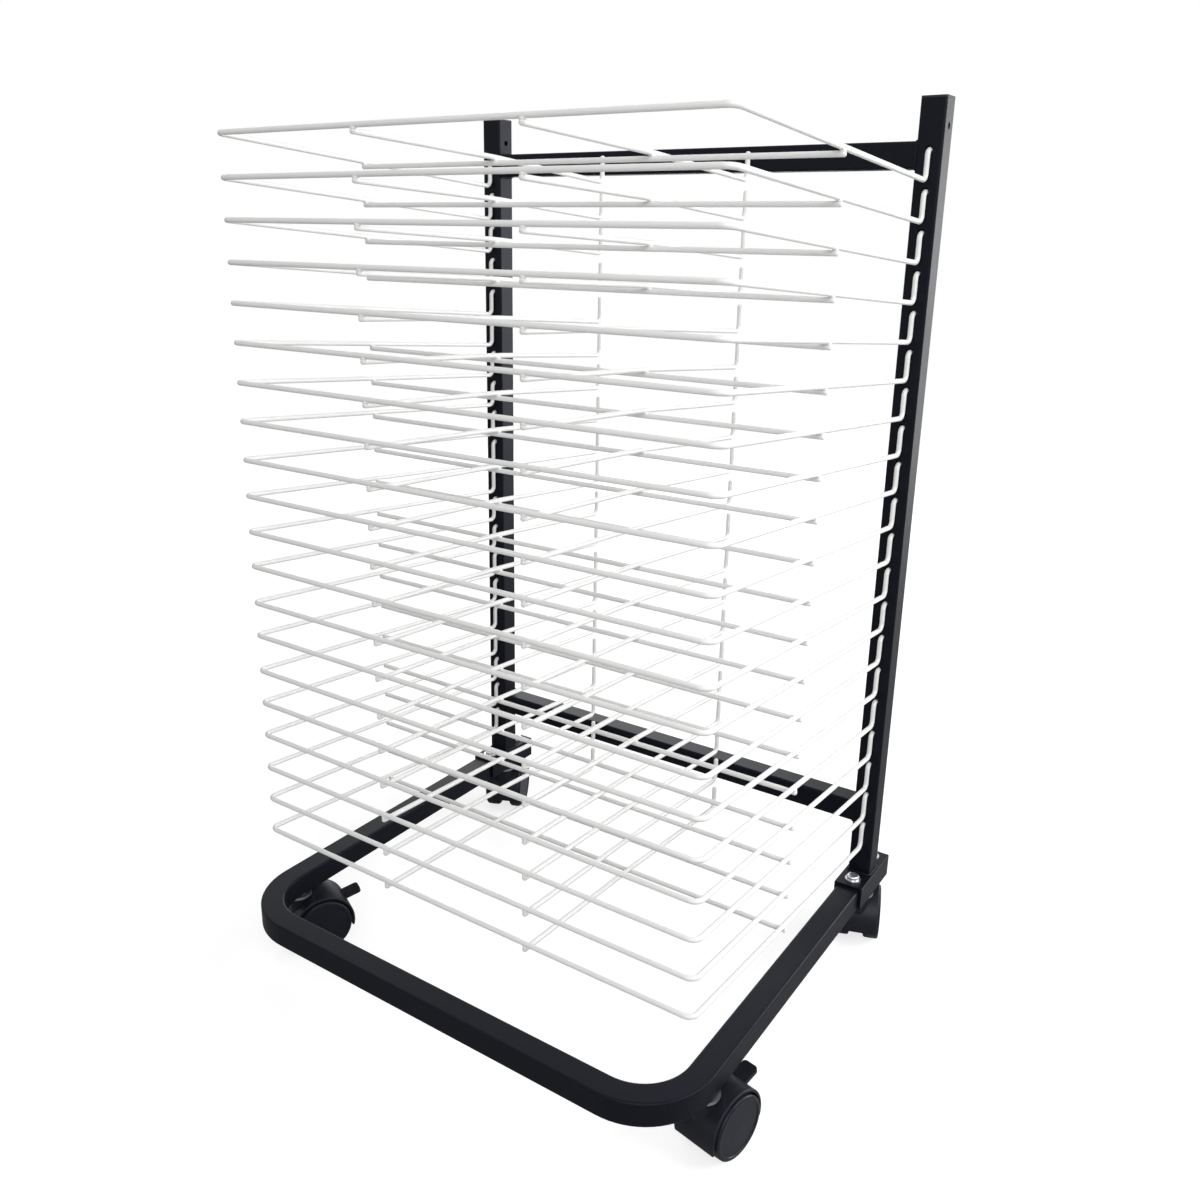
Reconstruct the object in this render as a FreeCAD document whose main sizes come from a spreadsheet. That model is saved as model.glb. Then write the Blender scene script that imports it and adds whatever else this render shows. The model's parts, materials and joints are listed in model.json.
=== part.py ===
"""Mobile art drying rack: a U-shaped tube base on four swivel casters, two tube uprights on saddles,
two crossbars, and twenty welded wire shelves that hook into holes in the uprights.

Millimetres, +Z up, -Y the open front where paper goes in, origin on the floor under the middle of
the rack. The `sizes` sheet holds every driving dimension; each piece is bound to it.
"""
import FreeCAD, Part
import math
import os

import Sketcher

Vector = FreeCAD.Vector
doc = FreeCAD.newDocument("art_drying_rack")

# ---------------------------------------------------------------- driving dimensions
SIZES = {
    # frame tube, all of it one square stock
    "tube": 20.0, "wall": 1.5, "tube_corner": 1.8, "tube_inner_corner": 0.9,
    # base
    "frame_width": 440.0, "base_front": 210.0, "base_underside": 58.0, "base_corner": 50.0,
    # saddles under the uprights
    "saddle_length": 70.0, "saddle_plate": 2.5, "saddle_clearance": 0.25, "saddle_drop": 18.0,
    "saddle_edge": 0.8, "saddle_screw_margin": 11.5,
    # uprights and crossbars
    "upright_back": 158.0, "upright_head": 38.0, "top_bar_drop": 31.5, "bottom_bar_underside": 130.0,
    "side_hole": 5.0, "side_hole_drop": 21.0,
    # shelves
    "shelf_count": 20.0, "shelf_pitch": 30.0, "lowest_shelf": 108.0, "shelf_depth": 315.0,
    "shelf_rise": 26.0, "wire": 4.0, "weld_gap": 0.05, "front_bend": 7.0, "wire_overhang": 1.0,
    "hook_height": 22.0, "hook_bend": 5.0, "tip_bend": 4.0, "tip_reach": 9.0, "hook_hole": 6.0,
    "hook_clearance": 0.3, "long_wire_spacing": 140.0, "stop_setback": 17.0,
    "cross_wire_back": 166.0, "kink_bend": 400.0,
    # plastic caps in the tube ends
    "cap_flange": 1.5, "cap_insert": 12.0, "cap_clearance": 0.15, "plug_clearance": 0.3,
    # saddle screws, washers, and the threaded inserts in the base
    "screw": 6.0, "screw_length": 14.0, "screw_head": 11.0, "screw_head_height": 3.6,
    "screw_slot": 1.4, "screw_slot_depth": 1.8, "screw_clearance": 0.3, "washer": 14.0,
    "washer_thickness": 1.2, "insert_wall": 1.5, "insert_length": 12.0, "insert_bulge": 1.5,
    "insert_bulge_height": 2.0, "thread_clearance": 0.05,
    # caster stems and swivels
    "front_stem": 145.0, "stem": 8.0, "stem_top": 71.0, "stem_bottom": 28.0, "stem_washer": 24.0,
    "stem_washer_thickness": 2.3, "insert_flange": 15.0, "insert_flange_thickness": 1.0,
    "running_clearance": 0.05, "swivel_clearance": 0.25,
    "front_left_swivel": -27.0, "front_right_swivel": -11.0, "rear_left_swivel": 24.0,
    "rear_right_swivel": 20.0,
    # caster hood, axle and wheels
    "wheel_diameter": 50.0, "trail": 18.0, "boss": 17.0, "hood": 57.0, "hood_shell": 2.0, "hood_width": 36.0,
    "hood_wrap": 210.0, "hood_tilt": 1.0, "hood_edge": 0.9, "web": 12.0, "axle_hub": 14.0,
    "axle": 6.0, "axle_length": 30.0, "wheel_width": 13.5, "wheel_gap": 0.5, "wheel_edge": 2.2,
    "wheel_hub": 14.0, "wheel_rim": 4.5, "wheel_recess": 9.5, "cap_disc": 44.0, "cap_groove": 0.7,
    # brake levers on the front casters
    "lever_pivot": 20.0, "lever_pivot_angle": 45.0, "lever_tilt": 13.0, "lever_pin": 2.5,
    "lever_heel": 3.0, "lever_neck": 6.0, "lever_neck_thickness": 4.0, "lever_tab_start": 8.8,
    "lever_reach": 25.0, "lever_width": 13.0, "lever_thickness": 3.4, "lever_corner": 3.0,
    "lever_travel": 10.0, "lever_clearance": 0.4,
}
sizes = doc.addObject("Spreadsheet::Sheet", "sizes")
for row, (alias, value) in enumerate(SIZES.items(), start=1):
    sizes.set(f"A{row}", alias)
    sizes.set(f"B{row}", str(value))
    sizes.setAlias(f"B{row}", alias)
doc.recompute()


def number(expression):
    """The present value of an expression on the sheet."""
    return float(sizes.evalExpression(expression.replace("sizes.", "")))


# Places that several pieces share, worked out from the sheet once and named as expressions.
HALF_SPAN = "(sizes.frame_width - sizes.tube) / 2"
BASE_TOP = "(sizes.base_underside + sizes.tube)"
SADDLE_TOP = f"({BASE_TOP} + sizes.saddle_plate)"
UPRIGHT_TOP = ("(sizes.lowest_shelf + (sizes.shelf_count - 1) * sizes.shelf_pitch + sizes.hook_height"
               " + sizes.upright_head)")
FACE = "(sizes.upright_back - sizes.tube / 2)"
HOOK_LEG = f"({FACE} - sizes.wire / 2 - sizes.hook_clearance)"
SHELF_FRONT = f"({HOOK_LEG} - sizes.shelf_depth)"
INNER = "(sizes.tube - 2 * sizes.wall)"
SLOPE = "atan(sizes.shelf_rise / sizes.shelf_depth)"
SLOPE_LENGTH = "hypot(sizes.shelf_rise; sizes.shelf_depth)"
CROSSING = "(sizes.wire + sizes.weld_gap)"
STEM_WASHER = "(sizes.base_underside - sizes.insert_flange_thickness - sizes.stem_washer_thickness)"
BOSS_TOP = f"({STEM_WASHER} - sizes.swivel_clearance)"
WHEEL_AXIS = "(sizes.wheel_diameter / 2)"


# ---------------------------------------------------------------- drawing helpers
def bind(item, **expressions):
    for name, expression in expressions.items():
        item.setExpression(name, expression)
    return item


def place(item, x="0", y="0", z="0", turn=None):
    """Bind an object's placement: a point, and a turn about the vertical."""
    for axis, expression in zip("xyz", (x, y, z)):
        item.setExpression(f".Placement.Base.{axis}", expression)
    if turn is not None:
        item.Placement.Rotation = FreeCAD.Rotation(Vector(0, 0, 1), number(turn))
        item.setExpression(".Placement.Rotation.Angle", turn)
    return item


def new_body(name):
    return doc.addObject("PartDesign::Body", name)


def tube_section(sketch, x="0"):
    """The square stock's outline and bore, centred on (x, 0)."""
    rounded_rectangle(sketch, "sizes.tube", "sizes.tube", "sizes.tube_corner", x)
    rounded_rectangle(sketch, INNER, INNER, "sizes.tube_inner_corner", x)


def new_sketch(body, name, plane, lift=None, tilt=None):
    """A sketch on one of the body's origin planes, lifted along its normal or tilted about its X."""
    sketch = body.newObject("Sketcher::SketchObject", name)
    face = next(f for f in body.Origin.OriginFeatures if f.Role == plane)
    sketch.AttachmentSupport = [(face, "")]
    sketch.MapMode = "FlatFace"
    if lift is not None:
        sketch.setExpression(".AttachmentOffset.Base.z", lift)
    if tilt is not None:
        sketch.AttachmentOffset = FreeCAD.Placement(Vector(), FreeCAD.Rotation(Vector(1, 0, 0), number(tilt)))
        sketch.setExpression(".AttachmentOffset.Rotation.Angle", tilt)
    return sketch


def fix_point(sketch, geometry, end, x, y):
    """Hold one end of a sketch element at a place measured from the sketch origin."""
    for kind, expression in (("DistanceX", x), ("DistanceY", y)):
        index = sketch.addConstraint(Sketcher.Constraint(kind, -1, 1, geometry, end, number(expression)))
        sketch.setExpression(f"Constraints[{index}]", expression)


def polygon(sketch, corners):
    """A closed outline through corners given as pairs of expressions."""
    points = [Vector(number(x), number(y), 0) for x, y in corners]
    count = len(points)
    first = sketch.GeometryCount
    for index in range(count):
        sketch.addGeometry(Part.LineSegment(points[index], points[(index + 1) % count]), False)
    for index, (x, y) in enumerate(corners):
        fix_point(sketch, first + index, 1, x, y)
        following = first + (index + 1) % count
        sketch.addConstraint(Sketcher.Constraint("Coincident", first + index, 2, following, 1))


def bent_path(sketch, corners, bends):
    """Straight runs through the corners, each inner corner rounded by a tangent arc of its bend radius.

    Every run passes through its two corners, so the arcs alone decide where it starts and ends.
    """
    points = [Vector(number(x), number(y), 0) for x, y in corners]
    radii = [number(bend) for bend in bends]
    starts, ends, arcs = [points[0]], [], []
    for index, radius in enumerate(radii, start=1):
        before = (points[index] - points[index - 1]).normalize()
        after = (points[index + 1] - points[index]).normalize()
        cut = radius * math.tan(before.getAngle(after) / 2)
        ends.append(points[index] - before * cut)
        starts.append(points[index] + after * cut)
        inward = (after - before).normalize()
        middle = points[index] + inward * (math.hypot(radius, cut) - radius)
        arcs.append(Part.Arc(ends[-1], middle, starts[-1]))
    ends.append(points[-1])
    runs = [sketch.addGeometry(Part.LineSegment(a, b), False) for a, b in zip(starts, ends)]
    fix_point(sketch, runs[0], 1, *corners[0])
    fix_point(sketch, runs[-1], 2, *corners[-1])
    for index, arc in enumerate(arcs):
        bend = sketch.addGeometry(arc, False)
        corner = sketch.addGeometry(Part.Point(points[index + 1]), True)
        fix_point(sketch, corner, 1, *corners[index + 1])
        # a counter-clockwise arc starts where the run before it ends; a clockwise one is stored reversed
        near = 1 if sketch.getPoint(bend, 1).distanceToPoint(ends[index]) < 1e-6 else 2
        sketch.addConstraint(Sketcher.Constraint("Tangent", runs[index], 2, bend, near))
        sketch.addConstraint(Sketcher.Constraint("Tangent", bend, 3 - near, runs[index + 1], 1))
        for run in (runs[index], runs[index + 1]):
            sketch.addConstraint(Sketcher.Constraint("PointOnObject", corner, 1, run))
        at = sketch.addConstraint(Sketcher.Constraint("Radius", bend, radii[index]))
        sketch.setExpression(f"Constraints[{at}]", bends[index])


def circle(sketch, diameter, x="0", y="0"):
    centre = Vector(number(x), number(y), 0)
    index = sketch.addGeometry(Part.Circle(centre, Vector(0, 0, 1), number(diameter) / 2), False)
    fix_point(sketch, index, 3, x, y)
    at = sketch.addConstraint(Sketcher.Constraint("Diameter", index, number(diameter)))
    sketch.setExpression(f"Constraints[{at}]", diameter)


def rounded_rectangle(sketch, width, height, radius, x="0", y="0"):
    """A rectangle centred on (x, y) with four equal corner arcs, fully constrained."""
    w, h, r = number(width) / 2, number(height) / 2, number(radius)
    cx, cy = number(x), number(y)
    first = sketch.GeometryCount
    ends = (((r - w, -h), (w - r, -h)), ((w, r - h), (w, h - r)),
            ((w - r, h), (r - w, h)), ((-w, h - r), (-w, r - h)))
    for start, end in ends:
        sketch.addGeometry(Part.LineSegment(Vector(cx + start[0], cy + start[1], 0),
                                            Vector(cx + end[0], cy + end[1], 0)), False)
    for index, (sx, sy) in enumerate(((1, -1), (1, 1), (-1, 1), (-1, -1))):
        centre = Vector(cx + sx * (w - r), cy + sy * (h - r), 0)
        base = Part.Circle(centre, Vector(0, 0, 1), r)
        start = math.radians(90 * (index - 1))
        sketch.addGeometry(Part.ArcOfCircle(base, start, start + math.pi / 2), False)
    for index in range(4):
        line, arc = first + index, first + 4 + index
        following = first + (index + 1) % 4
        sketch.addConstraint(Sketcher.Constraint("Tangent", line, 2, arc, 1))
        sketch.addConstraint(Sketcher.Constraint("Tangent", arc, 2, following, 1))
        sketch.addConstraint(Sketcher.Constraint("Vertical" if index % 2 else "Horizontal", line))
        if index:
            sketch.addConstraint(Sketcher.Constraint("Equal", first + 4, arc))
    corner = sketch.addConstraint(Sketcher.Constraint("Radius", first + 4, r))
    sketch.setExpression(f"Constraints[{corner}]", radius)
    for line, kind, middle, whole in ((1, "DistanceX", x, width), (3, "DistanceX", x, f"-({width})"),
                                      (2, "DistanceY", y, height), (0, "DistanceY", y, f"-({height})")):
        expression = f"{middle} + ({whole}) / 2"
        at = sketch.addConstraint(Sketcher.Constraint(kind, -1, 1, first + line, 1, number(expression)))
        sketch.setExpression(f"Constraints[{at}]", expression)


def feature(body, kind, name, sketch, **expressions):
    item = body.newObject(f"PartDesign::{kind}", name)
    item.Profile = sketch
    return bind(item, **expressions)


def pad(body, name, sketch, length, middle=False):
    item = feature(body, "Pad", name, sketch, Length=length)
    item.Midplane = middle
    return item


def pocket(body, name, sketch, length, middle=False, other_way=False):
    """Cut a sketch out of the body; the cut has to take material away."""
    doc.recompute()
    before = body.Shape.Volume
    item = feature(body, "Pocket", name, sketch, Length=length)
    item.Midplane = middle
    item.Reversed = other_way
    doc.recompute()
    assert body.Shape.Volume < before - 0.01, f"{name} cuts nothing"
    return item


def pipe(body, name, section, route):
    """Sweep a section along every edge of a route."""
    doc.recompute()
    item = body.newObject("PartDesign::AdditivePipe", name)
    item.Profile = section
    item.Spine = (route, [f"Edge{i}" for i in range(1, len(route.Shape.Edges) + 1)])
    return item


def disc(body, name, diameter, bottom, height, bore=None, y="0"):
    """A round upright disc, or a ring, on the body's axis or at a distance y from it."""
    outline = new_sketch(body, f"{name}_outline", "XY_Plane", lift=bottom)
    circle(outline, diameter, "0", y)
    if bore is not None:
        circle(outline, bore, "0", y)
    return pad(body, name, outline, height)


def cross_pin(body, name, diameter, length, cut=False):
    """A round pin along X through the body's origin, or the hole for one."""
    outline = new_sketch(body, f"{name}_outline", "YZ_Plane")
    circle(outline, diameter)
    return (pocket if cut else pad)(body, name, outline, length, middle=True)


def revolve(body, name, sketch, angle=None):
    """Turn a sketch about its own horizontal axis, all the way or by an angle to both sides."""
    item = body.newObject("PartDesign::Revolution", name)
    item.Profile = sketch
    item.ReferenceAxis = (sketch, ["H_Axis"])
    if angle is not None:
        item.setExpression("Angle", angle)
        item.Midplane = True
    return item


def fillet(body, name, radius, chosen):
    """Round the edges of the body so far that the test picks out."""
    doc.recompute()
    base = body.Tip
    names = [f"Edge{i}" for i, edge in enumerate(base.Shape.Edges, start=1) if chosen(edge)]
    item = body.newObject("PartDesign::Fillet", name)
    item.Base = (base, names)
    return bind(item, Radius=radius)


def group(name, members):
    """One node made of several solids, or one solid placed again."""
    item = doc.addObject("Part::Compound", name)
    item.Links = members
    return item


nodes = []


def node(item, name):
    """Name an object as a sub-part that is written out."""
    item.Label = name
    nodes.append(item)
    return item


# ---------------------------------------------------------------- uprights
# Square tube, one row of round hook holes in the front wall, and a hole across near the top.
def upright(name, side):
    body = node(new_body(name), name)
    section = new_sketch(body, f"{name}_section", "XY_Plane")
    tube_section(section)
    pad(body, f"{name}_tube", section, f"{UPRIGHT_TOP} - sizes.cap_flange - {SADDLE_TOP}")

    hole = new_sketch(body, f"{name}_hook_hole", "XZ_Plane")
    circle(hole, "sizes.hook_hole", "0", f"sizes.lowest_shelf + sizes.hook_height - {SADDLE_TOP}")
    cut = pocket(body, f"{name}_hook_cut", hole, "sizes.tube", other_way=True)
    row = body.newObject("PartDesign::LinearPattern", f"{name}_hook_row")
    row.Originals = [cut]
    row.Direction = (hole, ["V_Axis"])
    bind(row, Length="(sizes.shelf_count - 1) * sizes.shelf_pitch", Occurrences="sizes.shelf_count")
    body.Tip = row

    across = new_sketch(body, f"{name}_side_hole", "YZ_Plane")
    circle(across, "sizes.side_hole", "0", f"{UPRIGHT_TOP} - sizes.side_hole_drop - {SADDLE_TOP}")
    pocket(body, f"{name}_side_cut", across, "2 * sizes.tube", middle=True)
    place(body, f"{side} * {HALF_SPAN}", "sizes.upright_back", SADDLE_TOP)


upright("left_upright", -1)
upright("right_upright", 1)
# ---------------------------------------------------------------- crossbars
# Two short tubes welded between the uprights, flush with them front and back.
def crossbar(name, underside):
    body = node(new_body(name), name)
    section = new_sketch(body, f"{name}_section", "YZ_Plane")
    tube_section(section)
    pad(body, f"{name}_tube", section, "sizes.frame_width - 2 * sizes.tube", middle=True)
    place(body, "0", "sizes.upright_back", f"{underside} + sizes.tube / 2")


crossbar("top_crossbar", f"{UPRIGHT_TOP} - sizes.top_bar_drop - sizes.tube")
crossbar("bottom_crossbar", "sizes.bottom_bar_underside")

# ---------------------------------------------------------------- base
# One tube bent twice: a front run and two arms that end under the saddles.
SCREW_BARREL = "(sizes.screw + 2 * sizes.insert_wall)"
STEM_BARREL = "(sizes.stem + 2 * sizes.insert_wall)"
ARM_TUBE_END = "(sizes.upright_back + sizes.saddle_length / 2 - sizes.cap_flange)"
SCREW_REACH = "(sizes.saddle_length / 2 - sizes.saddle_screw_margin)"
BASE_FRONT_LINE = "-(sizes.base_front - sizes.tube / 2)"

base = node(new_body("base_frame"), "base_frame")
route = new_sketch(base, "base_route", "XY_Plane")
bent_path(route, [(f"-{HALF_SPAN}", ARM_TUBE_END), (f"-{HALF_SPAN}", BASE_FRONT_LINE),
                  (HALF_SPAN, BASE_FRONT_LINE), (HALF_SPAN, ARM_TUBE_END)],
          ["sizes.base_corner", "sizes.base_corner"])
section = new_sketch(base, "base_section", "XZ_Plane", lift=f"-{ARM_TUBE_END}")
tube_section(section, f"-{HALF_SPAN}")
pipe(base, "base_tube", section, route)

lower = new_sketch(base, "stem_holes", "XY_Plane", lift="-sizes.tube / 2")
upper = new_sketch(base, "screw_holes", "XY_Plane", lift="sizes.tube / 2")
for side in (-1, 1):
    across = f"{side} * {HALF_SPAN}"
    for along in ("-sizes.front_stem", "sizes.upright_back"):
        circle(lower, f"{STEM_BARREL} + 2 * sizes.thread_clearance", across, along)
    for end in (-1, 1):
        along = f"sizes.upright_back + {end} * {SCREW_REACH}"
        circle(upper, f"{SCREW_BARREL} + 2 * sizes.thread_clearance", across, along)
pocket(base, "stem_hole_cut", lower, "2 * sizes.wall", other_way=True)
pocket(base, "screw_hole_cut", upper, "2 * sizes.wall")
place(base, "0", "0", "sizes.base_underside + sizes.tube / 2")


# ---------------------------------------------------------------- saddles
# A short channel over the end of each arm; the upright stands on its top plate.
def saddle(name, side):
    body = node(new_body(name), name)
    inside = "(sizes.tube / 2 + sizes.saddle_clearance)"
    outside = f"({inside} + sizes.saddle_plate)"
    outline = new_sketch(body, f"{name}_outline", "XZ_Plane")
    polygon(outline, [(f"-{outside}", "-sizes.saddle_drop"), (f"-{inside}", "-sizes.saddle_drop"),
                      (f"-{inside}", "0"), (inside, "0"), (inside, "-sizes.saddle_drop"),
                      (outside, "-sizes.saddle_drop"), (outside, "sizes.saddle_plate"),
                      (f"-{outside}", "sizes.saddle_plate")])
    pad(body, f"{name}_channel", outline, "sizes.saddle_length", middle=True)
    top, far = number("sizes.saddle_plate"), number(outside)
    fillet(body, f"{name}_edges", "sizes.saddle_edge", lambda edge: all(
        abs(v.Z - top) < 0.01 and abs(abs(v.X) - far) < 0.01 for v in edge.Vertexes)
        and edge.Vertexes[0].X * edge.Vertexes[-1].X > 0)
    holes = new_sketch(body, f"{name}_holes", "XY_Plane", lift="sizes.saddle_plate")
    for end in (-1, 1):
        circle(holes, "sizes.screw + 2 * sizes.screw_clearance", "0", f"{end} * {SCREW_REACH}")
    pocket(body, f"{name}_hole_cut", holes, "2 * sizes.saddle_plate")
    place(body, f"{side} * {HALF_SPAN}", "sizes.upright_back", BASE_TOP)


saddle("left_saddle", -1)
saddle("right_saddle", 1)


# ---------------------------------------------------------------- pieces that are used several times
def placed(name, source, x, y, z, turn=None, lay_back=False):
    """The same piece at another place; lay_back turns its top towards +Y."""
    item = group(name, source if isinstance(source, list) else [source])
    if lay_back:
        item.Placement.Rotation = FreeCAD.Rotation(Vector(1, 0, 0), -90)
    return place(item, x, y, z, turn)


def screw_places():
    """Name, x and y of the four saddle screws."""
    for side, half in (("left", -1), ("right", 1)):
        for end, way in (("front", -1), ("rear", 1)):
            yield f"{side}_{end}", f"{half} * {HALF_SPAN}", f"sizes.upright_back + {way} * {SCREW_REACH}"


def tube_cap(name, depth):
    """A plastic cap: a flange as wide as the tube and a plug that fits its bore."""
    body = new_body(name)
    flange = new_sketch(body, f"{name}_flange", "XY_Plane")
    rounded_rectangle(flange, "sizes.tube", "sizes.tube", "sizes.tube_corner")
    pad(body, f"{name}_top", flange, "sizes.cap_flange")
    stub = new_sketch(body, f"{name}_stub", "XY_Plane", lift=f"-({depth})")
    fit = f"({INNER} - 2 * sizes.cap_clearance)"
    rounded_rectangle(stub, fit, fit, "sizes.tube_inner_corner")
    pad(body, f"{name}_plug", stub, depth)
    return body


# the base's plugs are short, because the rear saddle screws' inserts stand close behind them
upright_cap = tube_cap("upright_cap", "sizes.cap_insert")
end_plug = tube_cap("end_plug", f"sizes.saddle_screw_margin - sizes.cap_flange - {SCREW_BARREL} / 2"
                                " - sizes.insert_bulge - sizes.plug_clearance")
node(group("upright_caps", [
    placed(f"{side}_upright_cap", upright_cap, f"{half} * {HALF_SPAN}", "sizes.upright_back",
           f"{UPRIGHT_TOP} - sizes.cap_flange") for side, half in (("left", -1), ("right", 1))]), "upright_caps")
node(group("base_end_plugs", [
    placed(f"{side}_end_plug", end_plug, f"{half} * {HALF_SPAN}", ARM_TUBE_END,
           "sizes.base_underside + sizes.tube / 2", lay_back=True)
    for side, half in (("left", -1), ("right", 1))]), "base_end_plugs")

# slotted pan-head screw, washer and threaded insert
screw = new_body("saddle_screw")
disc(screw, "screw_shank", "sizes.screw", "-sizes.screw_length", "sizes.screw_length")
disc(screw, "screw_head", "sizes.screw_head", "0", "sizes.screw_head_height")
height = number("sizes.screw_head_height")
fillet(screw, "screw_dome", "sizes.screw_head_height / 2",
       lambda edge: all(abs(v.Z - height) < 0.01 for v in edge.Vertexes))
slot = new_sketch(screw, "screw_slot", "XY_Plane", lift="sizes.screw_head_height")
polygon(slot, [("-sizes.screw_head", "-sizes.screw_slot / 2"), ("sizes.screw_head", "-sizes.screw_slot / 2"),
               ("sizes.screw_head", "sizes.screw_slot / 2"), ("-sizes.screw_head", "sizes.screw_slot / 2")])
pocket(screw, "screw_slot_cut", slot, "sizes.screw_slot_depth")

washer = new_body("saddle_washer")
disc(washer, "washer_ring", "sizes.washer", "0", "sizes.washer_thickness",
     bore="sizes.screw + 2 * sizes.screw_clearance")


def insert(name, barrel, bore, bottom, bulge_bottom):
    """A threaded insert: a barrel through the tube wall, swaged out behind it."""
    body = new_body(name)
    disc(body, f"{name}_barrel", barrel, bottom, "sizes.insert_length", bore=bore)
    disc(body, f"{name}_bulge", f"{barrel} + 2 * sizes.insert_bulge", bulge_bottom,
         "sizes.insert_bulge_height", bore=bore)
    return body


screw_insert = insert("saddle_insert", SCREW_BARREL, "sizes.screw + 2 * sizes.thread_clearance",
                      "-sizes.insert_length", "-(sizes.wall + sizes.insert_bulge_height)")
stem_insert = insert("caster_insert", STEM_BARREL, "sizes.stem + 2 * sizes.thread_clearance", "0", "sizes.wall")
disc(stem_insert, "insert_flange", "sizes.insert_flange", "-sizes.insert_flange_thickness",
     "sizes.insert_flange_thickness", bore="sizes.stem + 2 * sizes.thread_clearance")

node(group("saddle_screws", [placed(f"{spot}_screw", screw, x, y, f"{SADDLE_TOP} + sizes.washer_thickness")
                             for spot, x, y in screw_places()]), "saddle_screws")
node(group("saddle_washers", [placed(f"{spot}_washer", washer, x, y, SADDLE_TOP)
                              for spot, x, y in screw_places()]), "saddle_washers")
node(group("saddle_inserts", [placed(f"{spot}_insert", screw_insert, x, y, BASE_TOP)
                              for spot, x, y in screw_places()]), "saddle_inserts")

# ---------------------------------------------------------------- shelves
# Four wires welded where they cross. Shelf axes: X across, Y = 0 at the hook legs, Z = 0 at their foot.
HOOK_START = "(2 * sizes.hook_bend)"
EDGE_RISE = "sizes.shelf_rise"

edge_wire = new_body("shelf_edge_wire")
edge_route = new_sketch(edge_wire, "edge_route", "XY_Plane", tilt=f"-({SLOPE})")
bent_path(edge_route, [("0", f"-{SLOPE_LENGTH}"), (HALF_SPAN, f"-{SLOPE_LENGTH}"), (HALF_SPAN, f"-{HOOK_START}")],
          ["sizes.front_bend"])
edge_section = new_sketch(edge_wire, "edge_section", "YZ_Plane")
circle(edge_section, "sizes.wire", "-sizes.shelf_depth", EDGE_RISE)
edge = pipe(edge_wire, "edge_half", edge_section, edge_route)
hook_route = new_sketch(edge_wire, "hook_route", "YZ_Plane", lift=HALF_SPAN)
bent_path(hook_route, [("sizes.tip_reach", "sizes.hook_height"), ("0", "sizes.hook_height"), ("0", "0"),
                       (f"-{HOOK_START} * cos({SLOPE})", f"{HOOK_START} * sin({SLOPE})")],
          ["sizes.tip_bend", "sizes.hook_bend"])
hook_section = new_sketch(edge_wire, "hook_section", "XZ_Plane", lift="-sizes.tip_reach")
circle(hook_section, "sizes.wire", HALF_SPAN, "sizes.hook_height")
hook = pipe(edge_wire, "hook", hook_section, hook_route)
doc.recompute()
other_half = edge_wire.newObject("PartDesign::Mirrored", "other_half")
other_half.Originals = [edge, hook]
other_half.MirrorPlane = (next(f for f in edge_wire.Origin.OriginFeatures if f.Role == "YZ_Plane"), [""])
edge_wire.Tip = other_half

# The cross wire lies under the side runs and ends just past their middle.
cross_wire = new_body("shelf_cross_wire")
cross_section = new_sketch(cross_wire, "cross_section", "YZ_Plane")
circle(cross_section, "sizes.wire", f"-sizes.cross_wire_back - {CROSSING} * sin({SLOPE})",
       f"sizes.cross_wire_back * tan({SLOPE}) - {CROSSING} * cos({SLOPE})")
pad(cross_wire, "cross_run", cross_section, f"2 * ({HALF_SPAN} + sizes.wire_overhang)", middle=True)


# A long wire stands up as a paper stop at the rear, lies on the cross wire and dips under the front run.
def long_wire(name, side):
    body = new_body(name)
    x = f"{side} * sizes.long_wire_spacing / 2"
    along = f"({SLOPE_LENGTH} + sizes.wire_overhang)"
    kink = f"(sizes.cross_wire_back / cos({SLOPE}))"
    dip = f"({CROSSING} * ({along} - {kink}) / ({SLOPE_LENGTH} - {kink}))"
    route = new_sketch(body, f"{name}_route", "YZ_Plane", lift=x)
    bent_path(route, [("-sizes.stop_setback", "sizes.hook_height"),
                      ("-sizes.stop_setback", f"sizes.stop_setback * tan({SLOPE})"),
                      ("-sizes.cross_wire_back", f"sizes.cross_wire_back * tan({SLOPE})"),
                      (f"-{along} * cos({SLOPE}) - {dip} * sin({SLOPE})",
                       f"{along} * sin({SLOPE}) - {dip} * cos({SLOPE})")],
              ["sizes.hook_bend", "sizes.kink_bend"])
    section = new_sketch(body, f"{name}_section", "XY_Plane", lift="sizes.hook_height")
    circle(section, "sizes.wire", x, "-sizes.stop_setback")
    pipe(body, f"{name}_run", section, route)
    return body


shelf_wires = [edge_wire, long_wire("left_long_wire", -1), long_wire("right_long_wire", 1), cross_wire]
count = int(number("sizes.shelf_count"))
for index in range(count):
    name = f"shelf_{index + 1:02d}"
    height = f"sizes.lowest_shelf + {count - 1 - index} * sizes.shelf_pitch"
    node(placed(name, shelf_wires, "0", HOOK_LEG, height), name)

# ---------------------------------------------------------------- caster pieces
# Caster axes: the axle's middle is the origin, X along the axle, -Y towards the stem, which the wheels trail.
STEM_BORE = "(sizes.stem + 2 * sizes.running_clearance)"
HOOD_INSIDE = "(sizes.hood / 2 - sizes.hood_shell)"
WHEEL_START = "(sizes.web / 2 + sizes.wheel_gap)"

stem = new_body("caster_stem")
disc(stem, "stem_shank", "sizes.stem", "sizes.stem_bottom", "sizes.stem_top - sizes.stem_bottom")

# Washer pressed onto the stem: it takes the load between the insert's flange above and the boss below.
stem_washer = new_body("stem_washer")
disc(stem_washer, "stem_washer_ring", "sizes.stem_washer", "0", "sizes.stem_washer_thickness", bore="sizes.stem")

axle = new_body("caster_axle")
cross_pin(axle, "axle_pin", "sizes.axle", "sizes.axle_length")

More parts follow.
